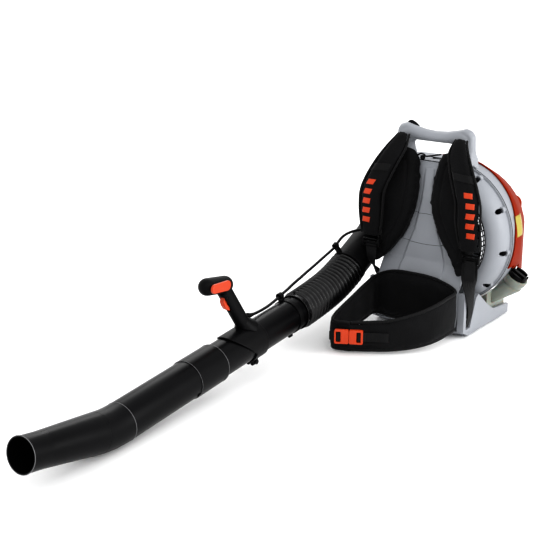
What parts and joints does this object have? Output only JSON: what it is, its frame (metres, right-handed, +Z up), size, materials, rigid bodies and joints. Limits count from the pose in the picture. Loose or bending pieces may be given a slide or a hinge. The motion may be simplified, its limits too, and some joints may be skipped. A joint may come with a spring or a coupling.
{
  "type": "backpack leaf blower",
  "caption": "Backpack leaf blower: fan and engine pack on a padded harness, with a pleated hose, a gripped blow tube and an upturned nozzle.",
  "frame": {"origin": "on the ground under the pack, below the fan axis, at the level of the base", "axes": "+Z up; -Y towards the wearer and along the blow tube, +Y towards the engine; +X to the wearer's left, the blow tube is on the -X side"},
  "size_m": [0.4238, 1.4846, 0.5001],
  "materials": {
    "shell_grey": "light grey moulded nylon, fine texture",
    "black_plastic": "black moulded plastic",
    "tube_plastic": "satin black blow-moulded plastic",
    "grip_plastic": "black soft-touch plastic",
    "orange_plastic": "orange moulded plastic",
    "tank_plastic": "translucent natural polyethylene",
    "rubber": "black rubber",
    "hose_rubber": "black pleated rubber hose",
    "cable_sheath": "black cable sheath",
    "pad_fabric": "black padded fabric",
    "webbing": "black woven webbing",
    "rope": "braided starter rope",
    "screw_steel": "blackened steel screws",
    "steel": "machined steel",
    "cast_alloy": "die-cast aluminium",
    "filter_felt": "pleated filter felt"
  },
  "bodies": {
    "root": {"backplate": "shell_grey", "base_frame": "shell_grey", "rubber_feet": "rubber", "vibration_mounts": "rubber", "intake_grille": "black_plastic", "housing_front": "shell_grey", "housing_rear": "shell_grey", "housing_seal": "rubber", "housing_screws": "screw_steel", "crankcase": "cast_alloy", "cylinder": "cast_alloy", "spark_plug": "steel", "plug_boot": "rubber", "muffler": "steel", "muffler_guard": "black_plastic", "carburetor": "cast_alloy", "filter_element": "filter_felt", "filter_cover": "orange_plastic", "engine_shroud": "orange_plastic", "starter_housing": "black_plastic", "fuel_tank": "tank_plastic", "elbow": "black_plastic", "hose_clamp_rear": "black_plastic", "bellows_rear": "hose_rubber", "cable_pack": "cable_sheath", "back_pad_left": "pad_fabric", "back_pad_right": "pad_fabric", "shoulder_strap_left": "pad_fabric", "shoulder_strap_right": "pad_fabric", "strap_webbing": "webbing", "strap_adjusters": "black_plastic", "hip_belt": "pad_fabric", "buckle_socket": "orange_plastic"},
    "hose": {"bellows_front": "hose_rubber", "cable_hose": "cable_sheath"},
    "tube": {"hose_clamp_front": "black_plastic", "handle_tube": "tube_plastic", "handle_collar": "black_plastic", "grip_shell_left": "grip_plastic", "grip_shell_right": "grip_plastic", "cable_tube": "cable_sheath"},
    "trigger": {"throttle_trigger": "orange_plastic"},
    "lever": {"setting_lever": "orange_plastic"},
    "extension": {"extension_tube": "tube_plastic"},
    "nozzle_body": {"nozzle": "tube_plastic"},
    "rotor": {"impeller": "black_plastic", "crankshaft": "steel", "flywheel": "cast_alloy"},
    "piston_body": {"piston": "cast_alloy", "connecting_rod": "steel"},
    "starter_handle": {"starter_grip": "black_plastic", "starter_rope": "rope"},
    "pulley": {"starter_pulley": "black_plastic"},
    "choke": {"choke_lever": "black_plastic"},
    "primer": {"primer_bulb": "rubber"},
    "cap": {"fuel_cap": "black_plastic"},
    "knob": {"filter_knob": "black_plastic"},
    "buckle_half": {"buckle_plug": "orange_plastic", "plug_webbing": "webbing"}
  },
  "joints": [
    {"name": "hose_yaw", "type": "hinge", "parent": "root", "child": "hose", "pos_m": [-0.176, -0.145, 0.118], "axis": [0, 0, -1], "range_deg": [-2, 28], "deforming": ["bellows_rear", "cable_pack"]},
    {"name": "hose_pitch", "type": "hinge", "parent": "hose", "child": "tube", "pos_m": [-0.176, -0.262, 0.0975], "axis": [-1, 0, 0], "range_deg": [0, 40], "deforming": ["bellows_front", "cable_hose"]},
    {"name": "tube_extend", "type": "slide", "parent": "tube", "child": "extension", "axis": [0, -0.9968, -0.0802], "range_m": [0, 0.06]},
    {"name": "nozzle_twist", "type": "hinge", "parent": "extension", "child": "nozzle_body", "pos_m": [-0.176, -0.93575, 0.04287], "axis": [0, -0.9968, -0.0802], "range_deg": [-20, 20]},
    {"name": "throttle", "type": "hinge", "parent": "tube", "child": "trigger", "pos_m": [-0.176, -0.59505, 0.2075], "axis": [-1, 0, 0], "range_deg": [0, 10], "stiffness_Nm_per_rad": 0.5},
    {"name": "throttle_setting", "type": "hinge", "parent": "tube", "child": "lever", "pos_m": [-0.157, -0.612, 0.241], "axis": [1, 0, 0], "range_deg": [-25, 35]},
    {"name": "fan_spin", "type": "hinge", "parent": "root", "child": "rotor", "pos_m": [0, 0.1, 0.223], "axis": [0, -1, 0], "continuous": true},
    {"name": "piston_stroke", "type": "slide", "parent": "root", "child": "piston_body", "axis": [0, 0, 1], "range_m": [0, 0.033]},
    {"name": "starter_pull", "type": "slide", "parent": "root", "child": "starter_handle", "axis": [0, 0, 1], "range_m": [0, 0.5], "deforming": ["starter_rope"]},
    {"name": "starter_pulley_spin", "type": "hinge", "parent": "root", "child": "pulley", "pos_m": [0, 0.244, 0.223], "axis": [0, 1, 0], "range_deg": [0, 1090]},
    {"name": "choke_turn", "type": "hinge", "parent": "root", "child": "choke", "pos_m": [0.1, 0.235, 0.19], "axis": [0, 1, 0], "range_deg": [-45, 45]},
    {"name": "primer_press", "type": "slide", "parent": "root", "child": "primer", "axis": [0, -1, 0], "range_m": [0, 0.004], "stiffness_N_per_m": 500},
    {"name": "fuel_cap_turn", "type": "hinge", "parent": "root", "child": "cap", "pos_m": [0.174, 0.153, 0.118], "axis": [0.5, 0, 0.866], "range_deg": [0, 90]},
    {"name": "filter_knob_turn", "type": "hinge", "parent": "root", "child": "knob", "pos_m": [0.098, 0.262, 0.258], "axis": [0, 1, 0], "range_deg": [0, 90]},
    {"name": "buckle_release", "type": "slide", "parent": "root", "child": "buckle_half", "axis": [0.8942, 0.4478, 0], "range_m": [0, 0.035]}
  ],
  "couplings": [
    {"joint": "starter_pulley_spin", "follows": "starter_pull", "rad_per_m": 37.736}
  ]
}
